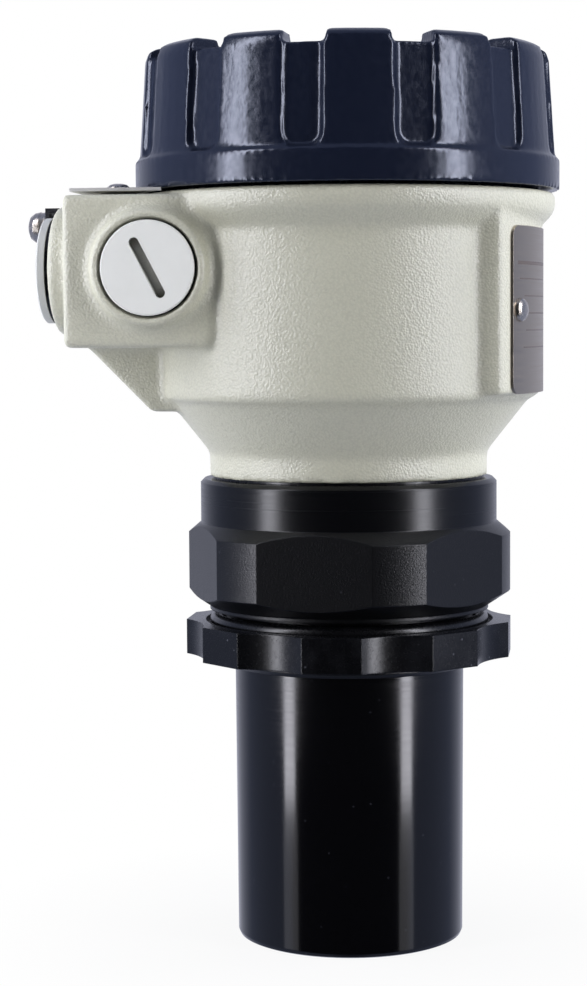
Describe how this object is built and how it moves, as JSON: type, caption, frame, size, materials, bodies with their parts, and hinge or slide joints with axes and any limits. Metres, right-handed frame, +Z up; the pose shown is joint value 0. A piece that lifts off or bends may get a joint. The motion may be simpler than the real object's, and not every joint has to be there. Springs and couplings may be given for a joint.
{
  "type": "ultrasonic level transmitter",
  "caption": "Ultrasonic level transmitter: painted cast housing with screwed lobed cover, side cable block with blanked entries, black hexagon process fitting, lock nut and tubular sensor",
  "frame": {"origin": "centre of the flat emitting face at the bottom of the sensor cup, on which the instrument stands", "axes": "+Z up the sensor axis to the cover, -Y the side with the front conduit plug, -X the cable block with the earth terminal, +X the nameplate"},
  "size_m": [0.1279, 0.1006, 0.212],
  "materials": {
    "cream_paint": "textured",
    "navy_paint": "gloss, cast texture",
    "black_plastic": "satin",
    "gloss_black_plastic": "gloss",
    "grey_zinc": "satin",
    "black_rubber": "matt",
    "stainless": "brushed",
    "dark_steel": "blackened",
    "clear_glass": "clear",
    "anodised_ring": "anodised",
    "bezel_plastic": "fine grain",
    "display_glass": "gloss",
    "key_rubber": "matt",
    "potting": "cast resin",
    "board_laminate": "solder mask",
    "terminal_plastic": "moulded",
    "ceramic": "fired ceramic, silvered",
    "cork": "cork rubber",
    "probe_steel": "drawn",
    "lead_jacket": "cable jacket"
  },
  "bodies": {
    "base": {"housing": "cream_paint", "process_fitting": "black_plastic", "sensor_cup": "gloss_black_plastic", "neck_seal": "black_rubber", "nameplate": "stainless", "top_plate": "stainless", "nameplate_rivets": "stainless", "top_plate_rivets": "stainless", "earth_screw": "stainless", "earth_spring_washer": "stainless", "earth_flat_washer": "stainless", "board_screws": "stainless", "terminal_screws": "stainless", "earth_clamp": "dark_steel", "display_posts": "anodised_ring", "display_bezel": "bezel_plastic", "lcd_panel": "display_glass", "key_escape_dome": "key_rubber", "key_minus_dome": "key_rubber", "key_plus_dome": "key_rubber", "key_enter_dome": "key_rubber", "electronics_pot": "potting", "backing_block": "potting", "matching_layer": "potting", "terminal_board": "board_laminate", "terminal_block": "terminal_plastic", "piezo_disc": "ceramic", "decoupling_ring": "cork", "temperature_probe": "probe_steel", "transducer_lead": "lead_jacket"},
    "cover_cap_carrier": {"cover_oring": "black_rubber"},
    "cover_cap": {"cover": "navy_paint", "glass_seal": "black_rubber", "sight_glass": "clear_glass", "glass_ring": "anodised_ring"},
    "nut_carrier": {"process_oring": "black_rubber"},
    "nut": {"lock_nut": "black_plastic"},
    "front_stopper_carrier": {"front_plug_seal": "black_rubber"},
    "front_stopper": {"front_plug": "grey_zinc"},
    "rear_stopper_carrier": {"rear_plug_seal": "black_rubber"},
    "rear_stopper": {"rear_plug": "grey_zinc"},
    "gland_stopper_a_carrier": {"gland_plug_a_seal": "black_rubber"},
    "gland_stopper_a": {"gland_plug_a": "grey_zinc"},
    "gland_stopper_b_carrier": {"gland_plug_b_seal": "black_rubber"},
    "gland_stopper_b": {"gland_plug_b": "grey_zinc"},
    "key_escape": {"key_escape": "key_rubber"},
    "key_minus": {"key_minus": "key_rubber"},
    "key_plus": {"key_plus": "key_rubber"},
    "key_enter": {"key_enter": "key_rubber"}
  },
  "joints": [
    {"name": "cover_cap_slide", "type": "slide", "parent": "base", "child": "cover_cap_carrier", "axis": [0, 0, 1], "range_m": [0, 0.00701]},
    {"name": "cover_cap_turn", "type": "hinge", "parent": "cover_cap_carrier", "child": "cover_cap", "pos_m": [0, 0, 0.17855], "axis": [0, 0, 1], "range_deg": [0, 1260]},
    {"name": "nut_slide", "type": "slide", "parent": "base", "child": "nut_carrier", "axis": [0, 0, -1], "range_m": [0, 0.0104]},
    {"name": "nut_turn", "type": "hinge", "parent": "nut_carrier", "child": "nut", "pos_m": [0, 0, 0.0684], "axis": [0, 0, -1], "range_deg": [0, 1620]},
    {"name": "front_stopper_slide", "type": "slide", "parent": "base", "child": "front_stopper_carrier", "axis": [0, -1, 0], "range_m": [0, 0.01089]},
    {"name": "front_stopper_turn", "type": "hinge", "parent": "front_stopper_carrier", "child": "front_stopper", "pos_m": [-0.04085, -0.0387, 0.1602], "axis": [0, -1, 0], "range_deg": [0, 2160]},
    {"name": "rear_stopper_slide", "type": "slide", "parent": "base", "child": "rear_stopper_carrier", "axis": [0, 1, 0], "range_m": [0, 0.01089]},
    {"name": "rear_stopper_turn", "type": "hinge", "parent": "rear_stopper_carrier", "child": "rear_stopper", "pos_m": [-0.04085, 0.0387, 0.1602], "axis": [0, 1, 0], "range_deg": [0, 2160]},
    {"name": "gland_stopper_a_slide", "type": "slide", "parent": "base", "child": "gland_stopper_a_carrier", "axis": [-1, 0, 0], "range_m": [0, 0.01051]},
    {"name": "gland_stopper_a_turn", "type": "hinge", "parent": "gland_stopper_a_carrier", "child": "gland_stopper_a", "pos_m": [-0.0662, -0.017, 0.1602], "axis": [-1, 0, 0], "range_deg": [0, 2520]},
    {"name": "gland_stopper_b_slide", "type": "slide", "parent": "base", "child": "gland_stopper_b_carrier", "axis": [-1, 0, 0], "range_m": [0, 0.01051]},
    {"name": "gland_stopper_b_turn", "type": "hinge", "parent": "gland_stopper_b_carrier", "child": "gland_stopper_b", "pos_m": [-0.0662, 0.017, 0.1602], "axis": [-1, 0, 0], "range_deg": [0, 2520]},
    {"name": "key_escape_press", "type": "slide", "parent": "base", "child": "key_escape", "axis": [0, 0, -1], "range_m": [0, 0.001], "stiffness_N_per_m": 400, "deforming": ["key_escape_dome"]},
    {"name": "key_minus_press", "type": "slide", "parent": "base", "child": "key_minus", "axis": [0, 0, -1], "range_m": [0, 0.001], "stiffness_N_per_m": 400, "deforming": ["key_minus_dome"]},
    {"name": "key_plus_press", "type": "slide", "parent": "base", "child": "key_plus", "axis": [0, 0, -1], "range_m": [0, 0.001], "stiffness_N_per_m": 400, "deforming": ["key_plus_dome"]},
    {"name": "key_enter_press", "type": "slide", "parent": "base", "child": "key_enter", "axis": [0, 0, -1], "range_m": [0, 0.001], "stiffness_N_per_m": 400, "deforming": ["key_enter_dome"]}
  ],
  "couplings": [
    {"joint": "cover_cap_slide", "follows": "cover_cap_turn", "m_per_rad": 0.00031831},
    {"joint": "nut_slide", "follows": "nut_turn", "m_per_rad": 0.00036749},
    {"joint": "front_stopper_slide", "follows": "front_stopper_turn", "m_per_rad": 0.00028871},
    {"joint": "rear_stopper_slide", "follows": "rear_stopper_turn", "m_per_rad": 0.00028871},
    {"joint": "gland_stopper_a_slide", "follows": "gland_stopper_a_turn", "m_per_rad": 0.00023873},
    {"joint": "gland_stopper_b_slide", "follows": "gland_stopper_b_turn", "m_per_rad": 0.00023873}
  ]
}
